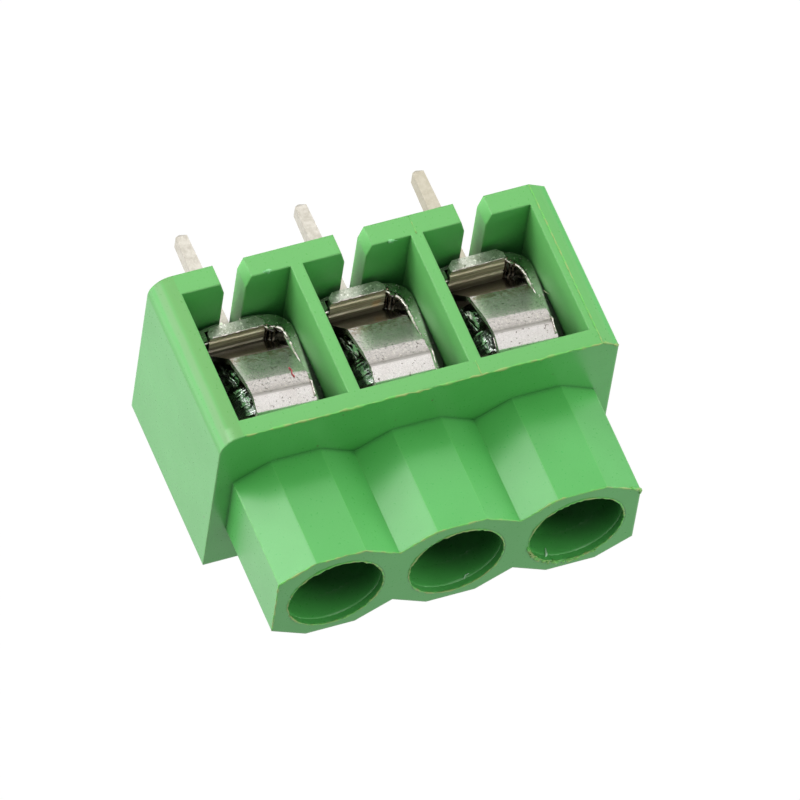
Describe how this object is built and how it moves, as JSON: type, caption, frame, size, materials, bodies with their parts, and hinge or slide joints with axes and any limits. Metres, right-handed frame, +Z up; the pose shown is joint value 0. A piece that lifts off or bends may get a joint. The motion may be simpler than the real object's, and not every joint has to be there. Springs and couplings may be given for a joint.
{
  "type": "pcb screw terminal",
  "caption": "Board-mount screw terminal row: moulded housing, rear windows onto strap cages, wire guards and solder pins, screwdriver towers on top, screws that clamp the wires",
  "frame": {"origin": "on the board, where the middle solder pin enters it", "axes": "+X along the row of poles, +Y out of the rear face with the windows, +Z up from the board through the towers"},
  "size_m": [0.0164, 0.0083, 0.0175],
  "materials": {
    "housing_plastic": "satin moulded green polyamide",
    "cage_steel": "nickel plated steel strap, sheared edges",
    "tinned_contact": "tin plated brass, dull and slightly mottled",
    "guard_steel": "nickel plated spring sheet, satin",
    "screw_steel": "bright plated steel"
  },
  "bodies": {
    "terminal": {"housing": "housing_plastic", "cage_1": "cage_steel", "contact_pin_1": "tinned_contact", "wire_guard_1": "guard_steel", "cage_2": "cage_steel", "contact_pin_2": "tinned_contact", "wire_guard_2": "guard_steel", "cage_3": "cage_steel", "contact_pin_3": "tinned_contact", "wire_guard_3": "guard_steel"},
    "screw_1_body": {"screw_1": "screw_steel"},
    "screw_2_body": {"screw_2": "screw_steel"},
    "screw_3_body": {"screw_3": "screw_steel"}
  },
  "joints": [
    {"name": "screw_1_travel", "type": "slide", "parent": "terminal", "child": "screw_1_body", "axis": [0, 0, 1], "range_m": [0, 0.0024]},
    {"name": "screw_2_travel", "type": "slide", "parent": "terminal", "child": "screw_2_body", "axis": [0, 0, 1], "range_m": [0, 0.0024]},
    {"name": "screw_3_travel", "type": "slide", "parent": "terminal", "child": "screw_3_body", "axis": [0, 0, 1], "range_m": [0, 0.0024]}
  ]
}
